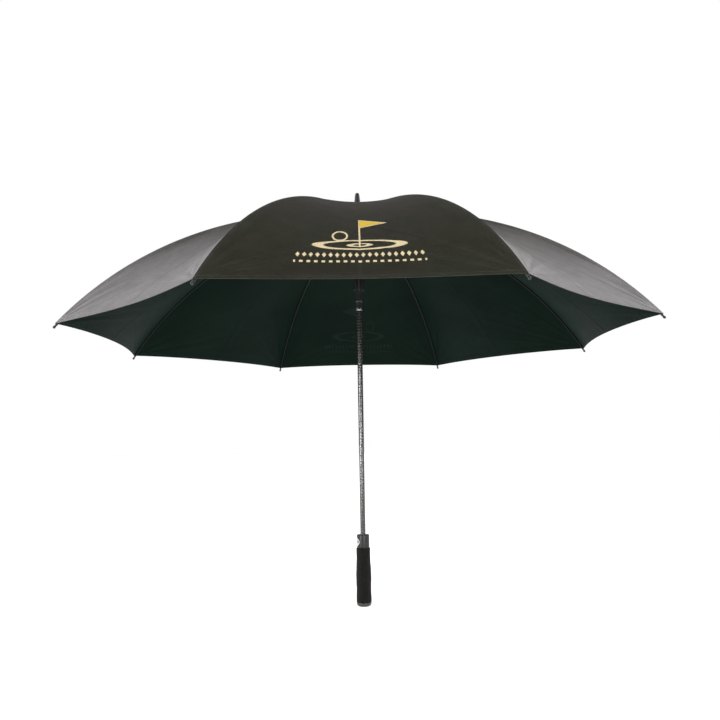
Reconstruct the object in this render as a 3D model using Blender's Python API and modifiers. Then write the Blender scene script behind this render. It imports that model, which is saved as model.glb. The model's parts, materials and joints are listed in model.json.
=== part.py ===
"""Automatic stick golf umbrella, open, in metres. +Z runs up the shaft from the end cap's bottom face.

The umbrella has eight ribs. One canopy panel faces -Y and the release button faces -X. Each rib is
drawn once in its own plane (X outward, Z up) and copied round the shaft. The empties are the pivots:
each rib hinges in the top notch, bends at its clip, and carries a stretcher on the clip's pin.
"""

import math

import bmesh
import bpy
from mathutils import Matrix, Vector

# Overall size
RIB_COUNT = 8
RIM_RADIUS = 0.695
RIM_Z = 0.630
TOP_Z = 1.0115
GAP = 0.0003

# Rib line: its slope below the horizontal grows from the notch to the tip
TOP_SLOPE = math.radians(2.3)
TIP_SLOPE = math.radians(51.7)
SLOPE_POWER = 1.18
LINE_STEPS = 400
PIVOT_R = 0.0106
CLIP_SHARE = 0.457
INNER_ROD_R = 0.0020
TIP_ROD_R = 0.0015

# Fold
EYE_R = 0.0110
EYE_Z = 0.8005
PIN_DROP = 0.0048
CLOSED_CLIP_R = 0.0160
CLOSED_TIP_R = 0.0195

# Shaft, notch and runner
SHAFT_R = 0.0063
BORE_R = 0.0051
SHAFT_BOTTOM_Z = 0.0120
SHAFT_TOP_Z = 0.9620
SLEEVE_BORE_R = 0.0066
CROWN_R = 0.0122
CROWN_CORE_R = 0.00825
WIRE_R = 0.0005
WIRE_GROOVE_R = 0.0098
WIRE_GROOVE_HALF = 0.0009
CROWN_BOTTOM_Z = 0.7594
FLANGE_TOP_Z = 0.7316
FLANGE_BOTTOM_Z = 0.7292
TAIL_BOTTOM_Z = 0.7151
CATCH_BOTTOM_Z = 0.7082
DRIVE_PIN_Z = 0.7480

# Handle
GRIP_BOTTOM_Z = 0.0095
GRIP_TOP_Z = 0.1343
COLLAR_BOTTOM_Z = 0.1346
COLLAR_TOP_Z = 0.1649
COLLAR_R = 0.0148
CORE_R = 0.0115
BUTTON_Z = 0.1475
BUTTON_R = 0.0070
BUTTON_FACE_X = -0.0154
SCOOP_R = 0.0115
SCOOP_X = -0.0201

# Canopy
FABRIC = 0.0005
CANOPY_LIFT = 0.0040
CROWN_LIFT = 0.0015
CROWN_LIFT_REACH = 0.020
PANEL_SAG = 0.138
HEM_SAG = 0.068
HEM_CUT = 0.028
TIP_PROUD = 0.010

BLACK_PLASTIC = ("black_plastic", (0.012, 0.012, 0.013), 0.35, 0.0)
GREY_FIBREGLASS = ("grey_fibreglass", (0.060, 0.060, 0.062), 0.30, 0.1)
RIB_FIBREGLASS = ("rib_fibreglass", (0.020, 0.020, 0.022), 0.32, 0.0)
BLACK_STEEL = ("black_steel", (0.025, 0.025, 0.027), 0.30, 0.8)
BRIGHT_STEEL = ("bright_steel", (0.62, 0.62, 0.64), 0.25, 1.0)
FOAM = ("grip_foam", (0.010, 0.010, 0.011), 0.85, 0.0)
BUTTON_GREY = ("button_plastic", (0.70, 0.70, 0.72), 0.30, 0.0)
CANOPY_CLOTH = ("canopy_cloth", (0.020, 0.018, 0.014), 0.65, 0.0)

for old in list(bpy.data.objects):
    bpy.data.objects.remove(old, do_unlink=True)
PARTS = bpy.data.collections.new("golf_umbrella")
CUTTERS = bpy.data.collections.new("cutters")
for group in (PARTS, CUTTERS):
    bpy.context.scene.collection.children.link(group)


# Rib line and fold


def rib_line():
    """Points (x, z) of a rib's centre line from its notch pivot at (0, 0), with the slope at each."""
    slopes = [
        TOP_SLOPE + (TIP_SLOPE - TOP_SLOPE) * (i / LINE_STEPS) ** SLOPE_POWER
        for i in range(LINE_STEPS + 1)
    ]
    x, z = [0.0], [0.0]
    for first, second in zip(slopes, slopes[1:]):
        x.append(x[-1] + (math.cos(first) + math.cos(second)) / 2)
        z.append(z[-1] - (math.sin(first) + math.sin(second)) / 2)
    scale = (RIM_RADIUS - PIVOT_R) / x[-1]
    return [v * scale for v in x], [v * scale for v in z], slopes, scale * LINE_STEPS


LINE_X, LINE_Z, LINE_SLOPE, RIB_LENGTH = rib_line()
NOTCH_Z = RIM_Z - LINE_Z[-1]


def on_rib(share):
    """(x, z, slope) of the rib line at a share of its length, from its notch pivot."""
    at = min(max(share, 0.0), 1.0) * LINE_STEPS
    i = min(int(at), LINE_STEPS - 1)
    f = at - i
    x, z, slope = (v[i] * (1 - f) + v[i + 1] * f for v in (LINE_X, LINE_Z, LINE_SLOPE))
    return x, z, slope


CLIP_X, CLIP_Z, CLIP_SLOPE = on_rib(CLIP_SHARE)


def fold():
    """The fold's numbers: angles in radians, counted downward, and the runner's travel in metres."""
    inner = math.hypot(CLIP_X, CLIP_Z)
    inner_open = math.atan2(-CLIP_Z, CLIP_X)
    inner_shut = math.acos((CLOSED_CLIP_R - PIVOT_R) / inner)
    outer_x, outer_z = LINE_X[-1] - CLIP_X, LINE_Z[-1] - CLIP_Z
    outer_open = math.atan2(-outer_z, outer_x)
    outer_shut = math.acos((CLOSED_TIP_R - CLOSED_CLIP_R) / math.hypot(outer_x, outer_z))

    def stretcher_pin(angle):
        r = PIVOT_R + inner * math.cos(angle) - PIN_DROP * math.sin(angle)
        return r, NOTCH_Z - inner * math.sin(angle) - PIN_DROP * math.cos(angle)

    pin_open, pin_shut = stretcher_pin(inner_open), stretcher_pin(inner_shut)
    length = math.hypot(pin_open[0] - EYE_R, pin_open[1] - EYE_Z)
    arm_open = math.atan2(pin_open[1] - EYE_Z, pin_open[0] - EYE_R)
    eye_shut_z = pin_shut[1] - math.sqrt(length**2 - (pin_shut[0] - EYE_R) ** 2)
    arm_shut = math.atan2(pin_shut[1] - eye_shut_z, pin_shut[0] - EYE_R)
    rib_turn = inner_shut - inner_open
    return {
        "pin": (pin_open[0] - PIVOT_R, pin_open[1] - NOTCH_Z),
        "length": length,
        "arm_open": arm_open,
        "travel": EYE_Z - eye_shut_z,
        "rib_turn": rib_turn,
        "bend_turn": outer_shut - outer_open - rib_turn,
        "arm_turn": -(arm_shut - arm_open) - rib_turn,
    }


FOLD = fold()


# Modelling helpers


def material(spec):
    name, colour, roughness, metallic = spec
    made = bpy.data.materials.get(name)
    if made is None:
        made = bpy.data.materials.new(name)
        made.use_nodes = True
        shader = made.node_tree.nodes["Principled BSDF"]
        shader.inputs["Base Color"].default_value = (*colour, 1.0)
        shader.inputs["Roughness"].default_value = roughness
        shader.inputs["Metallic"].default_value = metallic
    return made


def add(name, data, spec=None, group=PARTS, parent=None, at=(0, 0, 0)):
    obj = bpy.data.objects.new(name, data)
    group.objects.link(obj)
    obj.location = at
    obj.parent = parent
    if spec and not data.materials:
        data.materials.append(material(spec))
    return obj


def cutter(name, mesh):
    obj = add(name, mesh, group=CUTTERS)
    obj.hide_render = True
    obj.display_type = "WIRE"
    return obj


def boolean(obj, other, operation="DIFFERENCE"):
    change = obj.modifiers.new(other.name, "BOOLEAN")
    change.operation = operation
    change.object = other
    change.solver = "EXACT"
    return obj


def turned(name, profile, spec=None, steps=20, at=(0, 0, 0), closed=False):
    """A turned piece: (radius, height) pairs down its outer side, then up the bore if it is closed."""
    mesh = bpy.data.meshes.new(name)
    count = len(profile)
    edges = [(i, i + 1) for i in range(count - 1)] + ([(count - 1, 0)] if closed else [])
    mesh.from_pydata([(r, 0, z) for r, z in profile], edges, [])
    obj = add(name, mesh, spec, at=at)
    screw = obj.modifiers.new("turn", "SCREW")
    screw.axis = "Z"
    screw.steps = screw.render_steps = steps
    screw.use_merge_vertices = True
    screw.merge_threshold = 0.00001
    screw.use_smooth_shade = True
    return obj


def tube_profile(outer, inner):
    """A closed profile: the outer side's points top to bottom, then a straight bore."""
    return outer + [(inner, outer[-1][1]), (inner, outer[0][1])]


def finished(obj):
    """The object's mesh with its modifiers applied; the object itself is removed."""
    bpy.context.view_layer.update()
    graph = bpy.context.evaluated_depsgraph_get()
    mesh = bpy.data.meshes.new_from_object(obj.evaluated_get(graph), depsgraph=graph)
    name, matrix = obj.name, obj.matrix_world.copy()
    bpy.data.objects.remove(obj, do_unlink=True)
    mesh.transform(matrix)
    mesh.name = name
    shape = bmesh.new()
    shape.from_mesh(mesh)
    bmesh.ops.remove_doubles(shape, verts=shape.verts, dist=0.000002)
    shape.to_mesh(mesh)
    shape.free()
    return mesh


def box(name, low, high):
    mesh = bpy.data.meshes.new(name)
    shape = bmesh.new()
    bmesh.ops.create_cube(shape, size=1)
    size = Vector(high) - Vector(low)
    bmesh.ops.scale(shape, vec=size, verts=shape.verts)
    bmesh.ops.translate(shape, vec=(Vector(high) + Vector(low)) / 2, verts=shape.verts)
    shape.to_mesh(mesh)
    shape.free()
    return cutter(name, mesh)


def cylinder(name, radius, start, end, sides=16, spec=None):
    """A cylinder between two points: a piece if it has a material, otherwise a cutter."""
    start, end = Vector(start), Vector(end)
    mesh = bpy.data.meshes.new(name)
    shape = bmesh.new()
    bmesh.ops.create_cone(
        shape,
        cap_ends=True,
        segments=sides,
        radius1=radius,
        radius2=radius,
        depth=(end - start).length,
    )
    turn = (end - start).to_track_quat("Z", "Y").to_matrix().to_4x4()
    bmesh.ops.transform(
        shape, matrix=Matrix.Translation((start + end) / 2) @ turn, verts=shape.verts
    )
    shape.to_mesh(mesh)
    shape.free()
    return add(name, mesh, spec) if spec else cutter(name, mesh)


def rod(name, points, radii, spec=None, fineness=1, cyclic=False):
    """A round rod along points, with a radius at each."""
    curve = bpy.data.curves.new(name, "CURVE")
    curve.dimensions = "3D"
    curve.bevel_depth = 1.0
    curve.bevel_resolution = fineness
    curve.use_fill_caps = not cyclic
    line = curve.splines.new("POLY")
    line.use_cyclic_u = cyclic
    line.points.add(len(points) - 1)
    for knot, point, radius in zip(line.points, points, radii):
        knot.co = (*point, 1)
        knot.radius = radius
    return add(name, curve, spec)


def plate(name, outlines, thickness):
    """A flat plate in the XZ plane, centred on Y = 0; outlines after the first are its holes."""
    curve = bpy.data.curves.new(name, "CURVE")
    curve.dimensions = "2D"
    curve.fill_mode = "BOTH"
    curve.extrude = thickness / 2
    for outline in outlines:
        line = curve.splines.new("POLY")
        line.use_cyclic_u = True
        line.points.add(len(outline) - 1)
        for knot, (x, z) in zip(line.points, outline):
            knot.co = (x, z, 0, 1)
    obj = add(name, curve)
    obj.rotation_euler = (math.pi / 2, 0, 0)
    return obj


def arc(x, z, radius, start, end, steps):
    """Points round an arc, angles in degrees."""
    turns = [math.radians(start + (end - start) * i / steps) for i in range(steps + 1)]
    return [(x + radius * math.cos(t), z + radius * math.sin(t)) for t in turns]


def union_of(first, others):
    """One mesh from a curve or mesh object and the pieces joined to it."""
    whole = add(first.name, finished(first))
    for other in others:
        mesh = finished(other)
        boolean(whole, cutter(mesh.name, mesh), "UNION")
    return finished(whole)


def smooth(mesh, degrees=35):
    mesh.shade_smooth()
    mesh.set_sharp_from_angle(angle=math.radians(degrees))
    return mesh


# Shaft, top and spring


def build_shaft():
    ends = [(SHAFT_R, SHAFT_TOP_Z), (SHAFT_R, SHAFT_BOTTOM_Z)]
    shaft = turned("shaft", tube_profile(ends, BORE_R), GREY_FIBREGLASS, closed=True)
    low, high = DRIVE_PIN_Z - FOLD["travel"] - 0.004, DRIVE_PIN_Z + 0.004
    boolean(shaft, box("pin_slot", (-0.0012, 0.003, low), (0.0012, 0.008, high)))


def radial_slots(name, inner, half_width, low, high):
    """Eight boxes, one for each rib, that cut slots from the radius inner outward."""
    shape = bmesh.new()
    for turn in rib_angles():
        made = bmesh.ops.create_cube(shape, size=1)["verts"]
        size = Vector((0.012, 2 * half_width, high - low))
        bmesh.ops.scale(shape, vec=size, verts=made)
        bmesh.ops.translate(shape, vec=(inner + 0.006, 0, (high + low) / 2), verts=made)
        spin = Matrix.Rotation(turn, 3, "Z")
        bmesh.ops.rotate(shape, cent=(0, 0, 0), matrix=spin, verts=made)
    mesh = bpy.data.meshes.new(name)
    shape.to_mesh(mesh)
    shape.free()
    return cutter(name, mesh)


def rib_angles():
    """Each rib's angle from +X; a panel's middle faces -Y."""
    return [math.radians(-90 + 360 / RIB_COUNT * (k + 0.5)) for k in range(RIB_COUNT)]


def grooved(z):
    """The four points of the wire groove, at the height z of its middle."""
    high, low = z + WIRE_GROOVE_HALF, z - WIRE_GROOVE_HALF
    return [(CROWN_R, high), (WIRE_GROOVE_R, high), (WIRE_GROOVE_R, low), (CROWN_R, low)]


def wire_ring(name, radius, z):
    steps = 24
    points = [
        (radius * math.cos(2 * math.pi * i / steps), radius * math.sin(2 * math.pi * i / steps), z)
        for i in range(steps)
    ]
    rod(name, points, [WIRE_R] * steps, BRIGHT_STEEL, cyclic=True)


def build_top():
    top, bottom, skirt = NOTCH_Z + 0.0045, NOTCH_Z - 0.0032, NOTCH_Z - 0.0120
    outer = [(CROWN_R - 0.001, top), (CROWN_R, top - 0.001), *grooved(NOTCH_Z)]
    outer += [(CROWN_R, bottom), (CROWN_CORE_R, bottom - 0.0002), (CROWN_CORE_R - 0.0004, skirt)]
    notch = turned("top_notch", tube_profile(outer, SLEEVE_BORE_R), BLACK_PLASTIC, closed=True)
    slots = radial_slots("notch_slots", CROWN_CORE_R, 0.0012, bottom - 0.001, top + 0.001)
    boolean(notch, slots)
    wire_ring("notch_wire", PIVOT_R, NOTCH_Z)
    base = NOTCH_Z + 0.0064
    ring = [(0.0122, base + 0.0012), (0.0126, base)]
    turned("top_washer", tube_profile(ring, SLEEVE_BORE_R), BLACK_PLASTIC, closed=True)
    foot, socket = base + 0.0012 + GAP, SHAFT_TOP_Z + 0.0005
    dome = arc(0, TOP_Z - 0.0055, 0.0055, 90, 15, 5)
    side = [(0.0066, 0.9970), (0.0088, 0.9740), (0.0096, foot + 0.0040), (0.0116, foot + 0.0026)]
    hollow = [(0.0116, foot), (SLEEVE_BORE_R, foot), (SLEEVE_BORE_R, socket), (0, socket)]
    turned("ferrule", [(0, TOP_Z), *dome[1:], *side, *hollow], BLACK_PLASTIC)


def helix(radius, start, end, turns, per_turn):
    count = turns * per_turn
    return [
        Vector((
            radius * math.cos(2 * math.pi * i / per_turn),
            radius * math.sin(2 * math.pi * i / per_turn),
            start + (end - start) * i / count,
        ))
        for i in range(count + 1)
    ]


SPRING_WIRE_R = 0.0006
SPRING_R = 0.0038
SEAT_TOP_Z = 0.0600
PLUNGER_BOTTOM_Z = DRIVE_PIN_Z - 0.010
PLUNGER_TOP_Z = DRIVE_PIN_Z + 0.008


def build_spring():
    ends = ((0, 0, SEAT_TOP_Z - 0.010), (0, 0, SEAT_TOP_Z))
    cylinder("spring_seat", 0.0047, *ends, 16, BRIGHT_STEEL)
    start, end = SEAT_TOP_Z + SPRING_WIRE_R + GAP, PLUNGER_BOTTOM_Z - SPRING_WIRE_R - GAP
    coil = helix(SPRING_R, start, end, turns=22, per_turn=6)
    rod("opening_spring", coil, [SPRING_WIRE_R] * len(coil), BRIGHT_STEEL, fineness=0)


# Runner


def build_runner():
    top = EYE_Z + 0.0040
    outer = [(CROWN_R - 0.001, top), (CROWN_R, top - 0.001), *grooved(EYE_Z)]
    outer += [(CROWN_R, CROWN_BOTTOM_Z + 0.0015), (CROWN_R - 0.0015, CROWN_BOTTOM_Z)]
    outer += [(0.0074, CROWN_BOTTOM_Z), (0.0074, FLANGE_TOP_Z), (0.0082, FLANGE_TOP_Z)]
    outer += [(0.0082, FLANGE_BOTTOM_Z), (0.0073, FLANGE_BOTTOM_Z), (0.0073, TAIL_BOTTOM_Z)]
    runner = turned("runner", tube_profile(outer, SLEEVE_BORE_R), BLACK_PLASTIC, closed=True)
    slots = radial_slots("crown_slots", CROWN_CORE_R, 0.0017, CROWN_BOTTOM_Z - 0.001, top + 0.001)
    boolean(runner, slots)
    hole = ((0, 0.0055, DRIVE_PIN_Z), (0, 0.0090, DRIVE_PIN_Z))
    boolean(runner, cylinder("runner_pin_hole", 0.0012, *hole, 12))
    low, high = TAIL_BOTTOM_Z + 0.0015, FLANGE_BOTTOM_Z - 0.0015
    boolean(runner, box("tail_window", (-0.0013, -0.010, low), (0.0013, -0.005, high)))
    wire_ring("runner_wire", EYE_R, EYE_Z)
    ring_top = TAIL_BOTTOM_Z - GAP
    ring = [(0.0073, ring_top), (0.0073, CATCH_BOTTOM_Z + 0.001), (0.0070, CATCH_BOTTOM_Z)]
    turned("runner_catch", tube_profile(ring, SLEEVE_BORE_R), BRIGHT_STEEL, closed=True)
    pin = ((0, 0.0010, DRIVE_PIN_Z), (0, 0.0072, DRIVE_PIN_Z))
    cylinder("drive_pin", 0.0009, *pin, 10, BRIGHT_STEEL)
    ends = ((0, 0, PLUNGER_BOTTOM_Z), (0, 0, PLUNGER_TOP_Z))
    plunger = cylinder("spring_plunger", 0.0048, *ends, 16, BLACK_PLASTIC)
    bore = ((0, 0.0006, DRIVE_PIN_Z), (0, 0.0080, DRIVE_PIN_Z))
    boolean(plunger, cylinder("plunger_hole", 0.0012, *bore, 10))


# Handle


def build_collar():
    top, step, catch_bore = COLLAR_TOP_Z, 0.1430, 0.0077
    outer = [(COLLAR_R - 0.0012, top), (COLLAR_R, top - 0.0012), (COLLAR_R, COLLAR_BOTTOM_Z)]
    bore = [(SLEEVE_BORE_R, COLLAR_BOTTOM_Z), (SLEEVE_BORE_R, step)]
    bore += [(catch_bore, step), (catch_bore, top)]
    collar = turned("handle_collar", outer + bore, BLACK_PLASTIC, steps=28, closed=True)
    ends = ((SCOOP_X, -0.03, BUTTON_Z), (SCOOP_X, 0.03, BUTTON_Z))
    boolean(collar, cylinder("thumb_scoop", SCOOP_R, *ends, 32))
    ends = ((-0.030, 0, BUTTON_Z), (-0.0094, 0, BUTTON_Z))
    boolean(collar, cylinder("button_pocket", BUTTON_R + 0.0004, *ends, 24))
    ends = ((-0.012, 0, BUTTON_Z), (-0.005, 0, BUTTON_Z))
    boolean(collar, cylinder("stem_hole", 0.0025, *ends, 12))


def build_button():
    """The head, slightly domed, and its stem, both along -X; then the return spring round the stem."""
    face, back, tip = -BUTTON_FACE_X, 0.0124, 0.0102
    profile = [(0, face), (0.0040, face - 0.0003), (BUTTON_R - 0.0006, face - 0.0008)]
    profile += [(BUTTON_R, face - 0.0014), (BUTTON_R, back), (0.0022, back), (0.0022, tip), (0, tip)]
    button = turned("release_button", profile, BUTTON_GREY, at=(0, 0, BUTTON_Z))
    button.rotation_euler = (0, -math.pi / 2, 0)
    wire, floor = 0.00025, 0.0095
    coil = helix(0.0036, floor + wire + GAP, back - wire - GAP, turns=2, per_turn=10)
    spring = rod("button_spring", coil, [wire] * len(coil), BRIGHT_STEEL, fineness=0)
    spring.location = (0, 0, BUTTON_Z)
    spring.rotation_euler = (0, -math.pi / 2, 0)


def build_grip():
    core = [(CORE_R, GRIP_TOP_Z), (CORE_R, SHAFT_BOTTOM_Z)]
    turned("handle_core", tube_profile(core, SLEEVE_BORE_R), BLACK_PLASTIC, closed=True)
    waist = [(0.0160, GRIP_TOP_Z), (0.0167, GRIP_TOP_Z - 0.0016), (0.0165, 0.1250), (0.0162, 0.1171)]
    swell = [(0.0166, 0.1000), (0.0175, 0.0850), (0.0180, 0.0709), (0.0178, 0.0560)]
    heel = [(0.0172, 0.0430), (0.0173, 0.0330), (0.0180, 0.0170), (0.0177, GRIP_BOTTOM_Z)]
    profile = tube_profile(waist + swell + heel, CORE_R + GAP)
    turned("grip", profile, FOAM, steps=24, closed=True)


def build_end_cap():
    top = GRIP_BOTTOM_Z - GAP
    plug = [(0, 0.0240), (0.0044, 0.0240), (0.0048, 0.0230), (0.0048, top)]
    side = arc(0.0112, 0.0066, 0.0066, 0, -90, 6)
    turned("end_cap", [*plug, (0.0178, top), *side, (0, 0)], BLACK_PLASTIC, steps=24)


# Ribs, stretchers and tips, each drawn once in its own plane


def rib_points(start, end, count):
    points = []
    for i in range(count + 1):
        x, z, _ = on_rib(start + (end - start) * i / count)
        points.append(Vector((x, 0, z)))
    return points


def build_rib_inner_mesh():
    """From the notch pivot: an eye tab, the rod, and the clip with the stretcher's pin."""
    start, end = 0.0070 / RIB_LENGTH, CLIP_SHARE - 0.0024 / RIB_LENGTH
    points = rib_points(start, end, 7)
    stem = rod("rib_inner", points, [INNER_ROD_R] * len(points))
    eye = arc(0, 0, 0.0018, 90, 270, 6)
    hole = arc(0, 0, 0.0008, 0, 324, 9)
    tab = plate("rib_tab", [[*eye, (0.0085, -0.0018), (0.0085, 0.0014)], hole], 0.0017)
    return smooth(union_of(stem, [tab, *clip_pieces()]))


def clip_pieces():
    """Two cheeks, a block between them on the rod's end, and a pin, set along the rib at the clip."""
    low = -PIN_DROP - 0.0022
    outline = [(0.0040, 0), (-0.0100, 0), (-0.0100, -0.0030), (-0.0040, low)]
    outline += [(0.0022, low), (0.0040, -0.0040)]
    place = Matrix.Translation((CLIP_X, 0, CLIP_Z)) @ Matrix.Rotation(CLIP_SLOPE, 4, "Y")
    pieces = []
    for side, y in (("left", 0.0028), ("right", -0.0028)):
        cheek = plate("cheek_" + side, [outline], 0.0010)
        cheek.matrix_world = place @ Matrix.Translation((0, y, 0)) @ cheek.matrix_basis
        pieces.append(cheek)
    block = box("clip_block", (-0.0095, -0.0030, -0.0026), (-0.0027, 0.0030, -0.0002))
    block.matrix_world = place
    at = Vector(pin_place())
    pin = cylinder("clip_pin", 0.0007, at - Vector((0, 0.0031, 0)), at + Vector((0, 0.0031, 0)), 10)
    return [*pieces, block, pin]


def pin_place():
    """The stretcher pin's centre, from the notch pivot."""
    return FOLD["pin"][0], 0, FOLD["pin"][1]


def build_rib_outer_mesh():
    """The flexing outer rod, round where it meets the clip, from the bend's pivot."""
    ball = [(0.00005, 0.0008), (0.0007, 0.0016), (0.0020, INNER_ROD_R)]
    end = 1 - 0.0030 / RIB_LENGTH
    body = rib_points(CLIP_SHARE + 0.0080 / RIB_LENGTH, end, 9)
    start = [on_rib(CLIP_SHARE + s / RIB_LENGTH) for s, _ in ball]
    points = [Vector((x, 0, z)) for x, z, _ in start] + body
    radii = [r for _, r in ball]
    radii += [INNER_ROD_R + (TIP_ROD_R - INNER_ROD_R) * i / 9 for i in range(10)]
    mesh = finished(rod("rib_outer", points, radii))
    mesh.transform(Matrix.Translation((-CLIP_X, 0, -CLIP_Z)))
    return smooth(mesh)


def build_tip_mesh():
    """A cup over the rib's end with a ball nose, from the bend's pivot."""
    cup = [(0.0024, -0.0062), (0.0026, -0.0140), (0.0020, -0.0140), (0.0020, -0.0022), (0, -0.0022)]
    nose = arc(0, -0.0030, 0.0030, 90, -38, 7)
    profile = [(0, 0), *nose[1:], *cup]
    obj = turned("rib_tip", profile, steps=12)
    mesh = finished(obj)
    slope = LINE_SLOPE[-1]
    lay = Matrix.Rotation(math.pi / 2 + slope, 4, "Y")
    place = Matrix.Translation((LINE_X[-1] - CLIP_X, 0, LINE_Z[-1] - CLIP_Z))
    mesh.transform(place @ lay)
    return smooth(mesh)


def build_stretcher_mesh():
    """A flat bar from the clip's pin, at the origin, to its eye on the runner's wire."""
    length, half = FOLD["length"], 0.0020
    outline = [*arc(0, 0, half, 90, -90, 6), *arc(-length, 0, half, 270, 90, 6)]
    holes = [arc(0, 0, 0.0011, 0, 324, 9), arc(-length, 0, 0.0009, 0, 324, 9)]
    mesh = finished(plate("stretcher", [outline, *holes], 0.0026))
    mesh.transform(Matrix.Rotation(-FOLD["arm_open"], 4, "Y"))
    return mesh


# Canopy


def canopy_point(share, across):
    """A point of the cloth over the rib at +X: across runs from -1 to 1, panel middle to panel middle."""
    bow = 1 - (1 - abs(across)) ** 2
    share = share * (1 - HEM_CUT * bow)
    x, z, slope = on_rib(share)
    lift = CANOPY_LIFT + CROWN_LIFT * math.exp(-share * RIB_LENGTH / CROWN_LIFT_REACH)
    r = PIVOT_R + x + lift * math.sin(slope)
    z = NOTCH_Z + z + lift * math.cos(slope)
    half = math.pi / RIB_COUNT
    middle = Vector((r * math.cos(half) ** 2, r * math.cos(half) * math.sin(half), z))
    rib = Vector((r, 0, z))
    sag = PANEL_SAG * math.sin(math.pi * share) + HEM_SAG * share
    depth = sag * bow * r * math.sin(half)
    inward = Vector((
        -math.sin(slope) * math.cos(half), -math.sin(slope) * math.sin(half), -math.cos(slope)
    ))
    point = rib.lerp(middle, abs(across)) + inward * depth
    return Vector((point.x, math.copysign(point.y, across) if across else 0.0, point.z))


def build_panel_mesh():
    """One gore's cloth over a rib, with a small gap to its neighbours, from the bend's pivot."""
    rows, half_cols = 10, 3
    last = 1 - TIP_PROUD / RIB_LENGTH
    trim = Matrix.Translation((-PIVOT_R - CLIP_X, 0, -NOTCH_Z - CLIP_Z))
    shape = bmesh.new()
    grid = []
    for i in range(rows + 1):
        share = last * i / rows
        line = []
        for j in range(-half_cols, half_cols + 1):
            point = canopy_point(share, j / half_cols)
            if abs(j) == half_cols:
                seam = Vector((math.sin(math.pi / RIB_COUNT), -math.cos(math.pi / RIB_COUNT), 0))
                seam.y = math.copysign(seam.y, -j)
                point += seam * GAP
            line.append(shape.verts.new(trim @ point))
        grid.append(line)
    for low, high in zip(grid, grid[1:]):
        for j in range(2 * half_cols):
            shape.faces.new((low[j], high[j], high[j + 1], low[j + 1]))
    bmesh.ops.recalc_face_normals(shape, faces=shape.faces)
    if sum((face.normal.z for face in shape.faces)) < 0:
        bmesh.ops.reverse_faces(shape, faces=shape.faces)
    mesh = bpy.data.meshes.new("canopy_panel")
    shape.to_mesh(mesh)
    shape.free()
    obj = add("canopy_panel", mesh)
    shell = obj.modifiers.new("cloth", "SOLIDIFY")
    shell.thickness = FABRIC
    shell.offset = 0
    return smooth(finished(obj), 60)


# Assembly


def pivot(name, parent, at, turn=0.0):
    empty = add(name, None, parent=parent, at=at)
    empty.empty_display_size = 0.02
    empty.rotation_euler = (0, 0, turn)
    return empty


def build_ribs():
    meshes = {
        "rib_inner": (build_rib_inner_mesh(), RIB_FIBREGLASS),
        "rib_outer": (build_rib_outer_mesh(), RIB_FIBREGLASS),
        "rib_tip": (build_tip_mesh(), BLACK_PLASTIC),
        "stretcher": (build_stretcher_mesh(), BLACK_STEEL),
        "canopy_panel": (build_panel_mesh(), CANOPY_CLOTH),
    }
    for k, turn in enumerate(rib_angles(), 1):
        at = (PIVOT_R * math.cos(turn), PIVOT_R * math.sin(turn), NOTCH_Z)
        hinge = pivot(f"rib_hinge_{k}", None, at, turn)
        bend = pivot(f"rib_bend_{k}", hinge, (CLIP_X, 0, CLIP_Z))
        arm = pivot(f"stretcher_hinge_{k}", hinge, pin_place())
        for name, parent in (
            ("rib_inner", hinge),
            ("rib_outer", bend),
            ("rib_tip", bend),
            ("canopy_panel", bend),
            ("stretcher", arm),
        ):
            mesh, spec = meshes[name]
            add(f"{name}_{k}", mesh, spec, parent=parent)


def main():
    build_shaft()
    build_top()
    build_spring()
    build_runner()
    build_collar()
    build_button()
    build_grip()
    build_end_cap()
    build_ribs()


main()
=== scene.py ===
"""The looks of an open automatic golf umbrella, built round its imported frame, in metres.

The cloth canopy, the turned and moulded pieces, the rods and clips, their materials, and a studio.
"""

import json
from functools import reduce
from math import atan, atan2, cos, hypot, pi, radians, sin

import bmesh
import bpy
import numpy as np
from mathutils import Matrix, Vector


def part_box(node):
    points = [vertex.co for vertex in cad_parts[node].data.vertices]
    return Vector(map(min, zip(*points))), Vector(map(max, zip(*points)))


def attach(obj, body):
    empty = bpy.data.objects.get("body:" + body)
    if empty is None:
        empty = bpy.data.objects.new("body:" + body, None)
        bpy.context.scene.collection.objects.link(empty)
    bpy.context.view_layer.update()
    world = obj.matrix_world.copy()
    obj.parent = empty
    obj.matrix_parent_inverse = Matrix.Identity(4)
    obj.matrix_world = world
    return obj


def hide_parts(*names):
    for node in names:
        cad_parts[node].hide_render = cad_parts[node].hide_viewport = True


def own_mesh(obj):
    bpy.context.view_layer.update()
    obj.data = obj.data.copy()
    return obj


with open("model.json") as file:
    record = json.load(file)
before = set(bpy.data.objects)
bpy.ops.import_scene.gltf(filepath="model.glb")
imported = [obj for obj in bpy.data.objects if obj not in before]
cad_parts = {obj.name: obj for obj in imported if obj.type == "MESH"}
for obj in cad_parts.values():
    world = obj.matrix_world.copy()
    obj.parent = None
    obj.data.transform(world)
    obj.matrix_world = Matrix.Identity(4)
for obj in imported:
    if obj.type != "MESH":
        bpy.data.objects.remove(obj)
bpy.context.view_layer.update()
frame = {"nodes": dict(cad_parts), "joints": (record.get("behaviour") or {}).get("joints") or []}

# The frame's driving dimensions
RIB_COUNT = 8
RIM_RADIUS = 0.695
RIM_Z = 0.630
GAP = 0.0003
TOP_SLOPE = radians(2.3)
TIP_SLOPE = radians(51.7)
SLOPE_POWER = 1.18
LINE_STEPS = 400
PIVOT_R = 0.0106
CLIP_SHARE = 0.457
INNER_ROD_R = 0.0020
TIP_ROD_R = 0.0015
PIN_DROP = 0.0048
EYE_Z = 0.8005
SHAFT_R = 0.0063
BORE_R = 0.0051
SLEEVE_BORE_R = 0.0066
CROWN_R = 0.0122
CROWN_CORE_R = 0.00825
CROWN_LOW_Z = 0.7594
NECK_R = 0.0074
TAIL_R = 0.0073
FLANGE_R = 0.0082
FLANGE_HIGH_Z = 0.7316
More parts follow.
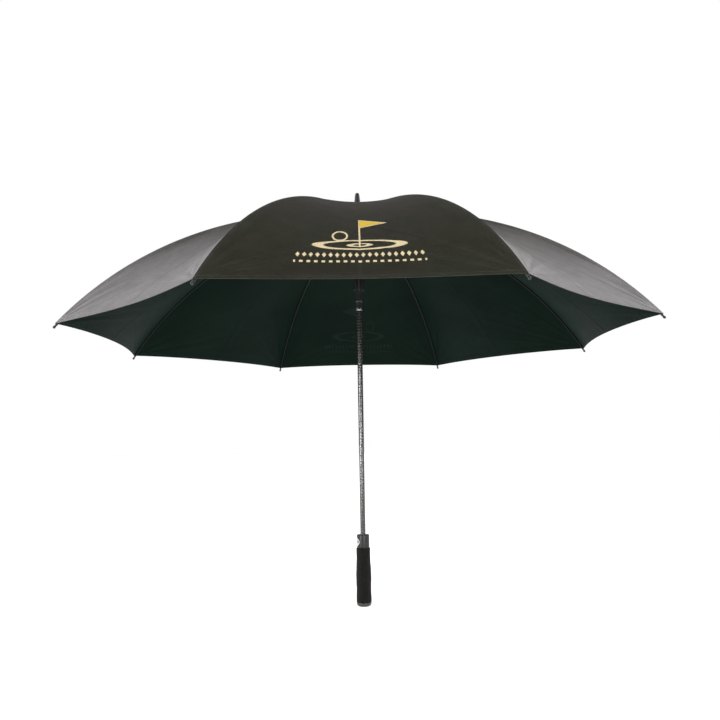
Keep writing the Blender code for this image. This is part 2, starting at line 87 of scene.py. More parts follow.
FLANGE_LOW_Z = 0.7292
COLLAR_R = 0.0148
COLLAR_BORE_R = 0.0077
COLLAR_STEP_Z = 0.1430
BUTTON_R = 0.0070
BUTTON_FACE_X = -0.0154
SCOOP_R = 0.0115
SCOOP_X = -0.0201
CAP_R = 0.0178
CAP_ROUND_R = 0.0066
PLUG_R = 0.0048
PLUG_TOP = 0.0240

# Canopy cloth
CLOTH = 0.0005
CANOPY_LIFT = 0.0040
CROWN_LIFT = 0.0015
CROWN_LIFT_REACH = 0.020
PANEL_SAG = 0.138
HEM_SAG = 0.068
HEM_CUT = 0.028
TIP_PROUD = 0.010
HALF = pi / RIB_COUNT
PRINTED_PANELS = (0, 4)
SEAM_HALF = 0.0040
HEM_BAND = 0.0100
CORNER_PATCH = 0.030
INNER_ROWS, OUTER_ROWS, COLUMNS = 38, 96, 46


# Rib line


def rib_line():
    """The rib's centre line from its notch pivot: x, z and slope at each step, and its length."""
    steps = np.arange(LINE_STEPS + 1) / LINE_STEPS
    slopes = TOP_SLOPE + (TIP_SLOPE - TOP_SLOPE) * steps**SLOPE_POWER
    x = np.concatenate([[0], np.cumsum((np.cos(slopes[1:]) + np.cos(slopes[:-1])) / 2)])
    z = -np.concatenate([[0], np.cumsum((np.sin(slopes[1:]) + np.sin(slopes[:-1])) / 2)])
    scale = (RIM_RADIUS - PIVOT_R) / x[-1]
    return x * scale, z * scale, slopes, scale * LINE_STEPS


LINE_X, LINE_Z, LINE_SLOPE, RIB_LENGTH = rib_line()
NOTCH_Z = RIM_Z - LINE_Z[-1]


def on_rib(share):
    """x, z and slope of the rib line at shares of its length."""
    at = np.clip(share, 0.0, 1.0) * LINE_STEPS
    steps = np.arange(LINE_STEPS + 1)
    return tuple(np.interp(at, steps, line) for line in (LINE_X, LINE_Z, LINE_SLOPE))


def rib_turn(k):
    """Rib k's angle from +X; the middle of a panel faces -Y."""
    return -pi / 2 + 2 * HALF * (k - 0.5)


# Canopy


def smoothstep(x):
    x = np.clip(x, 0.0, 1.0)
    return x * x * (3 - 2 * x)


class Relief:
    """The folds and tension creases of one panel, as a height above the smooth cloth.

    side is the distance from the panel's middle line and down the distance from the notch pivot.
    """

    WAVES = 5
    FAN_CREASES = 7
    FINEST = 0.0045
    SWELL_HEIGHT = 0.0003
    FOLD_HEIGHT = 0.0007
    FAN_HEIGHT = 0.0008
    STREAK_HEIGHT = 0.00012

    def __init__(self, panel):
        draw = np.random.default_rng(40 + panel)
        self.direction = draw.uniform(0, 2 * pi, self.WAVES)
        self.length = draw.uniform(0.10, 0.24, self.WAVES)
        self.phase = draw.uniform(0, 2 * pi, self.WAVES)
        self.streak_phase = draw.uniform(0, 2 * pi, (2, 4))
        spaced = np.linspace(5, 56, self.FAN_CREASES)
        self.fan_angle = np.radians(spaced) + np.radians(draw.uniform(-2.5, 2.5, (2, self.FAN_CREASES)))
        self.fan_width = np.radians(draw.uniform(0.9, 1.8, (2, self.FAN_CREASES)))
        self.fan_height = draw.uniform(0.4, 1.0, (2, self.FAN_CREASES))
        self.fan_reach = draw.uniform(0.05, 0.11, (2, self.FAN_CREASES))

    def __call__(self, side, down, half_width):
        tip_down = RIB_LENGTH - TIP_PROUD
        height = self.swell(side, down) * smoothstep((tip_down - down) / 0.12)
        height += self.middle_crease(side, down)
        tip_side = RIM_RADIUS * sin(HALF)
        for corner, sign in enumerate((-1, 1)):
            across, up = tip_side - sign * side, tip_down - down
            reach = np.hypot(across, up) + 1e-6
            lean = atan(sin(HALF) * cos(TIP_SLOPE))
            angle = np.arctan2(across, up) - lean
            height += self.fan(corner, reach, angle) + self.streaks(corner, reach, angle)
        from_rib = half_width - np.abs(side)
        return height * smoothstep((from_rib - 0.004) / 0.022) * smoothstep(down / 0.10)

    def swell(self, side, down):
        height = 0
        for direction, length, phase in zip(self.direction, self.length, self.phase):
            run = side * cos(direction) + down * sin(direction)
            height = height + self.SWELL_HEIGHT * np.sin(2 * pi * run / length + phase)
        return height

    def middle_crease(self, side, down):
        """The sharp line where the panel is folded in half each time the umbrella is rolled up."""
        return -self.FOLD_HEIGHT * np.exp(-np.abs(side) / 0.004) * smoothstep((RIB_LENGTH - down) / 0.06)

    def fan(self, corner, reach, angle):
        """Creases that run out of the sewn corner at the rib's tip."""
        height = 0
        for i in range(self.FAN_CREASES):
            width = np.maximum(self.fan_width[corner, i] * reach, self.FINEST)
            off = (angle - self.fan_angle[corner, i]) * reach / width
            grow = reach / 0.06 * np.exp(1 - reach / self.fan_reach[corner, i])
            size = (1 if i % 2 else -0.7) * self.FAN_HEIGHT * self.fan_height[corner, i]
            height = height + size * grow * np.exp(-off * off)
        return height

    def streaks(self, corner, reach, angle):
        """Long, faint pull lines that fade towards the panel's middle."""
        height = 0
        for i, phase in enumerate(self.streak_phase[corner]):
            waves = 19 + 11 * i
            height = height + np.sin(angle * waves + phase + np.sin(reach * 5 + phase)) / (1 + i)
        fade = np.exp(-(((reach - 0.26) / 0.14) ** 2))
        return self.STREAK_HEIGHT * height * fade


RELIEFS = [Relief(panel) for panel in range(RIB_COUNT)]


def half_width_at(share):
    """Half of a panel's width, at a share of the rib."""
    return (PIVOT_R + on_rib(share)[0]) * sin(HALF)


def cloth_point(share, across, panel, side_sign):
    """The cloth's middle surface beside the rib at +X; across runs from 0 to 1 at the panel's middle."""
    bow = 1 - (1 - across) ** 2
    cut = share * (1 - HEM_CUT * bow)
    x, z, slope = on_rib(cut)
    lift = CANOPY_LIFT + CROWN_LIFT * np.exp(-cut * RIB_LENGTH / CROWN_LIFT_REACH)
    r = PIVOT_R + x + lift * np.sin(slope)
    z = NOTCH_Z + z + lift * np.cos(slope)
    rib = np.stack([r, 0 * r, z], -1)
    middle = np.stack([r * cos(HALF) ** 2, r * cos(HALF) * sin(HALF), z], -1)
    sag = PANEL_SAG * np.sin(pi * cut) + HEM_SAG * cut
    half_width = r * sin(HALF)
    inward = np.stack(
        [-np.sin(slope) * cos(HALF), -np.sin(slope) * sin(HALF), -np.cos(slope)], -1
    )
    panel_side = -side_sign * (1 - across) * half_width
    relief = RELIEFS[panel](panel_side, cut * RIB_LENGTH, half_width)
    depth = sag * bow * half_width - relief
    point = rib + (middle - rib) * across[..., None] + inward * depth[..., None]
    point[..., 1] *= side_sign
    return point


def cloth_normal(share, across, panel, side_sign):
    """The cloth's outward unit normal, by central differences."""
    step = 0.002
    low, high = np.clip(across - step, 0, 1), np.clip(across + step, 0, 1)
    along = cloth_point(share + step, across, panel, side_sign)
    along -= cloth_point(share - step, across, panel, side_sign)
    over = cloth_point(share, high, panel, side_sign) - cloth_point(share, low, panel, side_sign)
    normal = np.cross(along, over) * side_sign
    return normal / np.linalg.norm(normal, axis=-1, keepdims=True)


def cloth_half_thickness(from_rib, from_hem):
    """Half the cloth's thickness: doubled at the rib seam and the hem, and again on the corner patch."""
    seam = 1 - smoothstep((from_rib - SEAM_HALF) / 0.0012)
    hem = 1 - smoothstep((from_hem - HEM_BAND) / 0.0012)
    patch = 1 - smoothstep((from_rib + from_hem - CORNER_PATCH) / 0.0015)
    return CLOTH / 2 * (1 + 0.7 * np.maximum(np.maximum(seam, hem), patch))


def row_shares(first, last, count, ends_at_hem):
    """The grid's rows; the last of them close up over the hem."""
    shares = list(np.linspace(first, last, count + 1))
    if ends_at_hem:
        hem = [HEM_BAND + 0.0014, HEM_BAND + 0.0007, HEM_BAND, 0.0050]
        shares = [s for s in shares if s < last - 0.014 / RIB_LENGTH]
        shares += [last - h / RIB_LENGTH for h in hem] + [last]
    return np.array(shares)


def column_places(half_width):
    """The grid's columns as 0..1 from rib to panel middle, with some kept close to the seam."""
    seam = np.array([0, 0.002, SEAM_HALF, SEAM_HALF + 0.0006, SEAM_HALF + 0.0013, 0.008])
    near = np.minimum(seam[None, :] / half_width[:, None], 0.07 * np.arange(len(seam))[None, :])
    rest = np.linspace(0, 1, COLUMNS + 1)[None, 1:]
    return np.concatenate([near, near[:, -1:] + (1 - near[:, -1:]) * rest], axis=1)


def cloth_mesh(name, shares, k, side_sign):
    """One closed piece of cloth beside rib k: outer face, inner face and edges."""
    panel = (k if side_sign > 0 else k - 1) % RIB_COUNT
    across = column_places(half_width_at(shares))
    share = np.repeat(shares[:, None], across.shape[1], axis=1)
    points = cloth_point(share, across, panel, side_sign)
    normals = cloth_normal(share, across, panel, side_sign)
    half_width = half_width_at(share)
    from_rib = across * half_width
    from_hem = (1 - TIP_PROUD / RIB_LENGTH - share) * RIB_LENGTH
    half_thick = cloth_half_thickness(from_rib, from_hem)[..., None]
    spin = np.array(Matrix.Rotation(rib_turn(k), 3, "Z"))
    outer = (points + normals * half_thick).reshape(-1, 3) @ spin.T
    inner = (points - normals * half_thick).reshape(-1, 3) @ spin.T
    turned = normals.reshape(-1, 3) @ spin.T
    count = share.size
    index = np.arange(count).reshape(share.shape)
    a, b, c, d = index[:-1, :-1], index[1:, :-1], index[1:, 1:], index[:-1, 1:]
    top = np.stack([a, b, c, d], -1).reshape(-1, 4)[:, ::side_sign]
    bottom = top[:, ::-1] + count
    ring = np.concatenate([index[:, 0], index[-1, 1:], index[-2::-1, -1], index[0, -2:0:-1]])
    following = np.roll(ring, -1)
    walls = np.stack([following, ring, ring + count, following + count], -1)[:, ::side_sign]
    mesh = bpy.data.meshes.new(name)
    faces = np.concatenate([top, bottom, walls])
    mesh.from_pydata(np.concatenate([outer, inner]).tolist(), [], faces.tolist())
    side = -side_sign * (1 - across) * half_width
    write_uv(mesh, "panel", np.stack([side, from_hem], -1).reshape(-1, 2), count)
    write_uv(mesh, "seam", np.stack([from_rib, share * RIB_LENGTH], -1).reshape(-1, 2), count)
    looks = np.zeros(len(faces), dtype=np.int32)
    looks[len(top):len(top) + len(bottom)] = 1
    mesh.polygons.foreach_set("material_index", looks)
    mesh.polygons.foreach_set("use_smooth", np.ones(len(faces), dtype=bool))
    corner_normals = np.concatenate([turned, -turned])[faces.ravel()].reshape(-1, 4, 3)
    for w in range(len(top) + len(bottom), len(faces)):
        corner_normals[w] = np.array(mesh.polygons[w].normal)
    mesh.normals_split_custom_set(corner_normals.reshape(-1, 3).tolist())
    return mesh


def write_uv(mesh, name, values, count):
    """A UV map in metres, the same on the outer and the inner face."""
    layer = mesh.uv_layers.new(name=name)
    verts = np.empty(len(mesh.loops), dtype=np.int32)
    mesh.loops.foreach_get("vertex_index", verts)
    layer.data.foreach_set("uv", values[verts % count].astype(np.float32).ravel())


def build_canopy():
    last = 1 - TIP_PROUD / RIB_LENGTH
    pieces = {
        "inner": (0.0, CLIP_SHARE, INNER_ROWS, "rib_{}"),
        "outer": (CLIP_SHARE, last, OUTER_ROWS, "rib_end_{}"),
    }
    for k in range(1, RIB_COUNT + 1):
        for side_name, side_sign in (("right", 1), ("left", -1)):
            panel = (k if side_sign > 0 else k - 1) % RIB_COUNT
            kind = "print" if panel in PRINTED_PANELS else "plain"
            for part, (first, end, rows, body) in pieces.items():
                name = f"canopy_{part}_{side_name}_{k}"
                mesh = cloth_mesh(name, row_shares(first, end, rows, part == "outer"), k, side_sign)
                looks = (f"cloth_{kind}", f"under_{kind}")
                piece = place_piece(name, mesh, body.format(k), "canopy_cloth", f"canopy_panel_{k}", looks)
                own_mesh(piece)


# Modelling helpers


def add_object(name, data):
    obj = bpy.data.objects.new(name, data)
    bpy.context.scene.collection.objects.link(obj)
    return obj


def place_piece(name, mesh, body, slot, node, looks=()):
    """Puts a mesh on a body in place of a node of the frame, in its slot's look or in others."""
    if mesh.materials:
        mesh.materials.clear()
    for look in looks or (slot,):
        mesh.materials.append(LOOKS[look])
    obj = add_object(name, mesh)
    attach(obj, body)
    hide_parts(node)
    return obj


def evaluated_mesh(obj):
    """What an object's modifiers or curve settings make of it, as a mesh."""
    bpy.context.view_layer.update()
    graph = bpy.context.evaluated_depsgraph_get()
    return bpy.data.meshes.new_from_object(obj.evaluated_get(graph), depsgraph=graph)


def smooth_mesh(mesh, degrees=32):
    mesh.shade_smooth()
    mesh.set_sharp_from_angle(angle=radians(degrees))
    return mesh


def to_mesh(name, shape):
    mesh = bpy.data.meshes.new(name)
    shape.to_mesh(mesh)
    shape.free()
    return smooth_mesh(mesh)


def softened(outline, size, steps=4, closed=False):
    """An outline whose corners are rounded: each is cut back by size and bent over a curve."""
    count = len(outline)
    rounded = []
    for i, point in enumerate(outline):
        if not closed and i in (0, count - 1):
            rounded.append(tuple(point))
            continue
        before, here, after = (Vector(outline[j % count]) for j in (i - 1, i, i + 1))
        cut = min(size, (before - here).length * 0.45, (after - here).length * 0.45)
        start = here + (before - here).normalized() * cut
        end = here + (after - here).normalized() * cut
        for s in range(steps + 1):
            f = s / steps
            rounded.append(tuple(start * (1 - f) ** 2 + here * (2 * f * (1 - f)) + end * f * f))
    return rounded


def lathe(name, outline, segments=96, closed=True):
    """A turned solid: a closed outline of (radius, height), or one that starts and ends on the axis."""
    shape = bmesh.new()
    rings = []
    for r, z in outline:
        turns = [2 * pi * i / segments for i in range(segments if r > 0 else 1)]
        rings.append([shape.verts.new((r * cos(t), r * sin(t), z)) for t in turns])
    pairs = list(zip(rings, rings[1:])) + ([(rings[-1], rings[0])] if closed else [])
    for upper, lower in pairs:
        for i in range(segments):
            j = (i + 1) % segments
            if len(upper) == 1:
                shape.faces.new((upper[0], lower[i], lower[j]))
            elif len(lower) == 1:
                shape.faces.new((upper[i], lower[0], upper[j]))
            else:
                shape.faces.new((upper[i], lower[i], lower[j], upper[j]))
    bmesh.ops.recalc_face_normals(shape, faces=shape.faces)
    return to_mesh(name, shape)


def cut_mesh(mesh, cutters):
    """The mesh with each cutter mesh taken from it."""
    obj = add_object(mesh.name, mesh)
    tools = [add_object(cutter.name, cutter) for cutter in cutters]
    for tool in tools:
        change = obj.modifiers.new(tool.name, "BOOLEAN")
        change.operation = "DIFFERENCE"
        change.object = tool
        change.solver = "EXACT"
    result = evaluated_mesh(obj)
    for used in (obj, *tools):
        bpy.data.objects.remove(used, do_unlink=True)
    return smooth_mesh(result)


def bar(name, radius, start, end, segments=48):
    """A cylinder between two points."""
    start, end = Vector(start), Vector(end)
    shape = bmesh.new()
    turn = (end - start).to_track_quat("Z", "Y").to_matrix().to_4x4()
    bmesh.ops.create_cone(
        shape,
        cap_ends=True,
        segments=segments,
        radius1=radius,
        radius2=radius,
        depth=(end - start).length,
        matrix=Matrix.Translation((start + end) / 2) @ turn,
    )
    return to_mesh(name, shape)


def block(name, low, high, turn=0.0):
    """A box between two corners, then turned about Z."""
    low, high = Vector(low), Vector(high)
    shape = bmesh.new()
    bmesh.ops.create_cube(shape, size=1)
    bmesh.ops.scale(shape, vec=high - low, verts=shape.verts)
    bmesh.ops.translate(shape, vec=(high + low) / 2, verts=shape.verts)
    bmesh.ops.rotate(shape, cent=(0, 0, 0), matrix=Matrix.Rotation(turn, 3, "Z"), verts=shape.verts)
    return to_mesh(name, shape)


def sweep(name, points, radii, sides=16):
    """A round rod along points in the XZ plane, with a radius at each and a point at both ends."""
    shape = bmesh.new()
    rings = []
    for i, (x, z) in enumerate(points):
        before, after = points[max(i - 1, 0)], points[min(i + 1, len(points) - 1)]
        run = Vector((after[0] - before[0], 0, after[1] - before[1])).normalized()
        up = Vector((-run.z, 0, run.x))
        ring = []
        for s in range(sides):
            t = 2 * pi * s / sides
            off = up * cos(t) + Vector((0, 1, 0)) * sin(t)
            ring.append(shape.verts.new(Vector((x, 0, z)) + off * radii[i]))
        rings.append(ring)
    for low, high in zip(rings, rings[1:]):
        for s in range(sides):
            t = (s + 1) % sides
            shape.faces.new((low[s], low[t], high[t], high[s]))
    shape.faces.new(rings[0])
    shape.faces.new(rings[-1])
    bmesh.ops.recalc_face_normals(shape, faces=shape.faces)
    return to_mesh(name, shape)


def slab(name, outline, holes, y, thickness, edge=0.0002):
    """A flat plate in the XZ plane with round holes and slightly bevelled edges."""
    curve = bpy.data.curves.new(name, "CURVE")
    curve.dimensions = "2D"
    curve.fill_mode = "BOTH"
    curve.extrude = thickness / 2 - edge
    curve.bevel_depth = edge
    curve.bevel_resolution = 1
    curve.offset = -edge
    for ring in (outline, *holes):
        line = curve.splines.new("POLY")
        line.use_cyclic_u = True
        line.points.add(len(ring) - 1)
        for knot, (x, z) in zip(line.points, ring):
            knot.co = (x, z, 0, 1)
    obj = add_object(name, curve)
    mesh = evaluated_mesh(obj)
    bpy.data.objects.remove(obj, do_unlink=True)
    mesh.transform(Matrix.Translation((0, y, 0)) @ Matrix.Rotation(pi / 2, 4, "X"))
    shape = bmesh.new()
    shape.from_mesh(mesh)
    bmesh.ops.remove_doubles(shape, verts=shape.verts, dist=0.000002)
    bmesh.ops.recalc_face_normals(shape, faces=shape.faces)
    bpy.data.meshes.remove(mesh)
    return to_mesh(name, shape)


def joined(name, meshes):
    """One mesh that holds several closed shapes."""
    shape = bmesh.new()
    for mesh in meshes:
        shape.from_mesh(mesh)
    whole = bpy.data.meshes.new(name)
    shape.to_mesh(whole)
    shape.free()
    return whole


def arc(x, z, radius, start, end, steps):
    """Points round an arc, angles in degrees."""
    turns = [radians(start + (end - start) * i / steps) for i in range(steps + 1)]
    return [(x + radius * cos(t), z + radius * sin(t)) for t in turns]


# Materials


class Nodes:
    """The node tree of a material or world, with short ways to make its nodes."""

    def __init__(self, owner):
        owner.use_nodes = True
        self.owner = owner
        self.tree = owner.node_tree

    @classmethod
    def material(cls, name):
        return cls(bpy.data.materials.new(name))

    def node(self, kind, inputs=(), **settings):
        made = self.tree.nodes.new(kind)
        for key, value in settings.items():
            setattr(made, key, value)
        for key, value in dict(inputs).items():
            self.put(made.inputs[key], value)
        return made

    def put(self, socket, value):
        """Links a socket's output, or writes a plain value."""
        if isinstance(value, bpy.types.NodeSocket):
            self.tree.links.new(value, socket)
        else:
            socket.default_value = value

    def math(self, operation, *values):
        return self.node("ShaderNodeMath", enumerate(values), operation=operation).outputs[0]

    def plus(self, *pair):
        return self.math("ADD", *pair)

    def minus(self, *pair):
        return self.math("SUBTRACT", *pair)

    def times(self, *pair):
        return self.math("MULTIPLY", *pair)

    def size(self, value):
        return self.math("ABSOLUTE", value)

    def split(self, vector):
        return self.node("ShaderNodeSeparateXYZ", {0: vector}).outputs

    def uv(self, name):
        return self.split(self.node("ShaderNodeUVMap", uv_map=name).outputs[0])[:2]

    def position(self):
        return self.node("ShaderNodeTexCoord").outputs["Object"]

    def noise(self, place, scale, detail=3.0, rough=0.55, stretch=None):
        if stretch is not None:
            place = self.node("ShaderNodeMapping", {"Vector": place, "Scale": stretch}).outputs[0]
        inputs = {"Vector": place, "Scale": scale, "Detail": detail, "Roughness": rough}
        return self.node("ShaderNodeTexNoise", inputs).outputs["Fac"]

    def spread(self, value, low, high, to_low=0.0, to_high=1.0, kind="LINEAR"):
        """A value's range from low to high, spread over another range and held inside it."""
        inputs = enumerate((value, low, high, to_low, to_high))
        return self.node("ShaderNodeMapRange", inputs, interpolation_type=kind).outputs[0]

    def blend(self, share, first, second):
        made = self.node("ShaderNodeMix", {"Factor": share}, data_type="RGBA")
        colours = [socket for socket in made.inputs if socket.type == "RGBA"]
        for socket, value in zip(colours, (first, second)):
            self.put(socket, (*value, 1.0) if isinstance(value, tuple) else value)
        return next(socket for socket in made.outputs if socket.type == "RGBA")

    def bump(self, height, distance, strength=1.0, under=None):
        inputs = {"Height": height, "Distance": distance, "Strength": strength}
        if under is not None:
            inputs["Normal"] = under
        return self.node("ShaderNodeBump", inputs).outputs[0]

    def finish(self, colour, roughness, normal=None, **fixed):
        """Wires the shader; fixed are plain values, set straight on its sockets."""
        sockets = self.tree.nodes["Principled BSDF"].inputs
        self.put(sockets["Base Color"], colour)
        self.put(sockets["Roughness"], roughness)
        if normal is not None:
            self.put(sockets["Normal"], normal)
        for key, value in fixed.items():
            sockets[key.replace("_", " ")].default_value = value
        return self.owner


def near(n, value, centre, half, soft):
    """1 where a value is within half of centre, fading over soft."""
    off = n.size(n.minus(value, centre))
    return n.spread(off, half, half + soft, 1.0, 0.0)


def stitches(n, from_edge, along, at, pitch=0.0034):
    """A row of thread dashes at a distance from an edge."""
    dash = n.math("PINGPONG", along, pitch / 2)
    return n.times(near(n, from_edge, at, 0.0003, 0.0002), n.spread(dash, 0.0003, 0.0005))


def weave(n, across, along, pitch=0.00055):
    """Plain weave: warp and weft threads as a height."""
    warp = n.math("SINE", n.times(across, 2 * pi / pitch))
    weft = n.math("SINE", n.times(along, 2 * pi / pitch))
    return n.times(warp, weft)


# Emblem: a flag on its pin, a ball and the green's outline, over a row of lozenges and a row of dashes.
# It is drawn at a size of its own, then stretched over the panel from EMBLEM_UP above the hem.
EMBLEM_UP = 0.068
EMBLEM_WIDE = 1.50
EMBLEM_TALL = 2.70
BAND_HALF = 0.0755
LOZENGES = 10
LOZENGE_PITCH = BAND_HALF / LOZENGES
LOZENGE_Y = 0.0070
LOZENGE_TALL = 0.0056
SOFT_EDGE = 0.0003


def emblem(n, side, up):
    """(outline mask, fill mask) of the printed emblem."""
    x = n.math("DIVIDE", side, EMBLEM_WIDE)
    y = n.math("DIVIDE", n.minus(up, EMBLEM_UP), EMBLEM_TALL)

    def both(*masks):
        return reduce(lambda one, other: n.math("MINIMUM", one, other), masks)

    def either(*masks):
        return reduce(lambda one, other: n.math("MAXIMUM", one, other), masks)

    def ring(cx, cy, rx, ry, half):
        dx = n.math("DIVIDE", n.minus(x, cx), rx)
        dy = n.math("DIVIDE", n.minus(y, cy), ry)
        reach = n.math("SQRT", n.plus(n.times(dx, dx), n.times(dy, dy)))
        off_line = n.times(n.minus(reach, 1.0), min(rx, ry))
        return near(n, off_line, 0.0, half, SOFT_EDGE)

    def strip(cx, cy, half_x, half_y):
        return both(near(n, x, cx, half_x, SOFT_EDGE), near(n, y, cy, half_y, SOFT_EDGE))

    pole = strip(0.0, 0.0500, 0.0009, 0.0290)
    fall = n.minus(0.0105, n.times(n.size(x), 0.29))
    tall = n.minus(fall, n.size(n.minus(y, 0.0685)))
    beside = both(n.math("GREATER_THAN", x, 0.0), n.math("LESS_THAN", x, 0.0362))
    pennant = both(n.spread(tall, 0.0, SOFT_EDGE), beside)
    inside = both(n.spread(tall, 0.0014, 0.0017), beside)
    border = n.minus(pennant, inside)
    green = ring(0.0, 0.0240, 0.0500, 0.0078, 0.0009)
    hole = ring(0.0, 0.0232, 0.0120, 0.0024, 0.0006)
    ball = ring(-0.0240, 0.0410, 0.0088, 0.0088, 0.0010)
    cell = n.math("PINGPONG", n.plus(x, BAND_HALF), LOZENGE_PITCH)
    lean = n.minus(cell, LOZENGE_PITCH / 2)
    off = n.times(n.minus(y, LOZENGE_Y), LOZENGE_PITCH / 2 / LOZENGE_TALL)
    reach = n.plus(n.size(lean), n.size(off))
    row = strip(0.0, LOZENGE_Y, BAND_HALF, LOZENGE_TALL)
    lozenges = both(n.spread(reach, 0.0024, 0.0027, 1.0, 0.0), row)
    beads = n.spread(n.math("PINGPONG", x, 0.0042), 0.0019, 0.0022, 1.0, 0.0)
    dotted = both(strip(0.0, -0.0026, BAND_HALF, 0.0012), beads)
    outline = either(pole, border, green, hole, ball, lozenges, dotted)
    return outline, inside


def cloth_material(name, dark, light, sheen, printed, outside):
    """Tightly woven polyester with a slight sheen, seam and hem stitching, and scuffed edges."""
    n = Nodes.material(name)
    side, from_hem = n.uv("panel")
    from_rib, along = n.uv("seam")
    place = n.position()
    mottle = n.noise(place, 5.0, 4.0)
    colour = n.blend(n.spread(mottle, 0.35, 0.65), dark, light)
    fine = n.noise(place, 900.0, 1.0)
    lighter = tuple(c * 1.35 + 0.002 for c in light)
    colour = n.blend(n.spread(fine, 0.45, 0.8, 0.0, 0.5), colour, lighter)
    scuff = n.noise(place, 60.0, 4.0, 0.7)
    edge = n.math("MINIMUM", from_hem, n.size(from_rib))
    worn = n.times(n.spread(edge, 0.0, 0.004, 1.0, 0.0), n.spread(scuff, 0.45, 0.7))
    colour = n.blend(n.times(worn, 0.35), colour, tuple(c * 3 + 0.01 for c in light))
    thread = n.math(
        "MAXIMUM",
        stitches(n, from_rib, along, SEAM_HALF - 0.0010),
        stitches(n, from_hem, side, HEM_BAND - 0.0015),
    )
    colour = n.blend(n.times(thread, 0.7), colour, tuple(c * 2 + 0.006 for c in light))
    roughness = n.spread(n.noise(place, 30.0), 0.3, 0.7, 0.36, 0.44) if outside else 0.6
    if printed:
        outline, inside = emblem(n, side, from_hem)
        if outside:
            colour = n.blend(outline, colour, (0.93, 0.80, 0.47))
            colour = n.blend(inside, colour, (0.85, 0.60, 0.05))
            roughness = n.minus(roughness, n.times(outline, 0.1))
        else:
            shows = n.times(n.math("MAXIMUM", outline, inside), 0.5)
            colour = n.blend(shows, colour, tuple(c * 1.5 + 0.004 for c in light))
    threads = weave(n, side, along)
    by_seam = n.spread(from_rib, SEAM_HALF, 0.022, 1.0, 0.0)
    by_hem = n.spread(from_hem, 0.008, 0.024, 1.0, 0.0)
    pucker = n.times(n.noise(place, 160.0, 2.0), n.math("MAXIMUM", by_seam, by_hem))
    normal = n.bump(pucker, 0.0016)
    normal = n.bump(n.noise(place, 34.0, 5.0, 0.6), 0.0009, 0.5, normal)
    normal = n.bump(thread, 0.0003, 1.0, normal)
    normal = n.bump(threads, 0.00008, 0.5, normal)
    weight, sheen_roughness, tint = sheen
    return n.finish(
        colour,
        roughness,
        normal,
        Specular_IOR_Level=0.50 if outside else 0.04,
        Sheen_Weight=weight,
        Sheen_Roughness=sheen_roughness,
        Sheen_Tint=(*tint, 1.0),
    )


def moulded(name, colour, roughness, texture=0.00004, coat=0.0):
    """Moulded plastic: a fine spark-eroded skin, faint flow marks and rubbed places."""
    n = Nodes.material(name)
    place = n.position()
    wear_and_highlight = n.spread(n.noise(place, 120.0, 5.0, 0.65), 0.52, 0.72)
    flow = n.noise(place, 40.0, 3.0, 0.5, stretch=(1.0, 1.0, 0.15))
    tone = n.blend(n.spread(flow, 0.3, 0.7), tuple(c * 0.8 for c in colour), colour)
    tone = n.blend(n.times(wear_and_highlight, 0.35), tone, tuple(c * 1.8 + 0.006 for c in colour))
    rough = n.spread(flow, 0.3, 0.7, roughness - 0.05, roughness + 0.06)
    rough = n.plus(rough, n.times(wear_and_highlight, 0.08))
    normal = n.bump(n.noise(place, 2600.0, 2.0), texture, 0.6)
    shine = 0.5 if coat else 0.3
    return n.finish(tone, rough, normal, Specular_IOR_Level=shine, Coat_Weight=coat, Coat_Roughness=0.12)


def foam(name):
    """Closed-cell EVA foam: dull, with fine pores and a soft, dusty bloom."""
    n = Nodes.material(name)
    place = n.position()
    bloom = n.noise(place, 55.0, 5.0, 0.7)
    tone = n.blend(n.spread(bloom, 0.35, 0.7), (0.004, 0.004, 0.003), (0.009, 0.009, 0.007))
    voronoi = n.node("ShaderNodeTexVoronoi", {"Vector": place, "Scale": 1500.0}, feature="F1")
    cells = voronoi.outputs["Distance"]
    # The pores' pits are painted darker: painted shade inside each pore.
    tone = n.blend(n.spread(cells, 0.0, 0.25, 0.6, 0.0), tone, (0.002, 0.002, 0.002))
    normal = n.bump(n.spread(cells, 0.05, 0.45), 0.00012, 0.7)
    normal = n.bump(n.noise(place, 260.0, 3.0), 0.0003, 0.6, normal)
    return n.finish(tone, 0.86, normal, Specular_IOR_Level=0.13, Sheen_Weight=0.05, Sheen_Roughness=0.5)


WINDING_PITCH = 0.0140
WINDING_STARTS = 4.0


def wound_fibreglass(name):
    """A resin tube wound with two crossing sets of glass rovings that show through its gloss."""
    n = Nodes.material(name)
    place = n.position()
    x, y, z = n.split(place)
    turn = n.math("ARCTAN2", y, x)
    climb = n.times(z, 2 * pi / WINDING_PITCH)
    around = n.times(turn, WINDING_STARTS)
    first = n.math("SINE", n.plus(climb, around))
    second = n.math("SINE", n.minus(climb, around))
    rovings = n.plus(n.times(n.times(first, second), 0.5), 0.5)
    strands = n.noise(place, 700.0, 2.0, 0.5, stretch=(1.0, 1.0, 0.12))
    tone = n.blend(n.spread(rovings, 0.25, 0.8), (0.014, 0.014, 0.012), (0.060, 0.059, 0.055))
    tone = n.blend(n.spread(strands, 0.4, 0.75, 0.0, 0.3), tone, (0.10, 0.10, 0.095))
    normal = n.bump(rovings, 0.00032, 0.8)
    normal = n.bump(strands, 0.00005, 0.6, normal)
    rough = n.spread(n.noise(place, 90.0), 0.3, 0.7, 0.20, 0.30)
    return n.finish(tone, rough, normal, Metallic=0.35, Coat_Weight=0.5, Coat_Roughness=0.15)


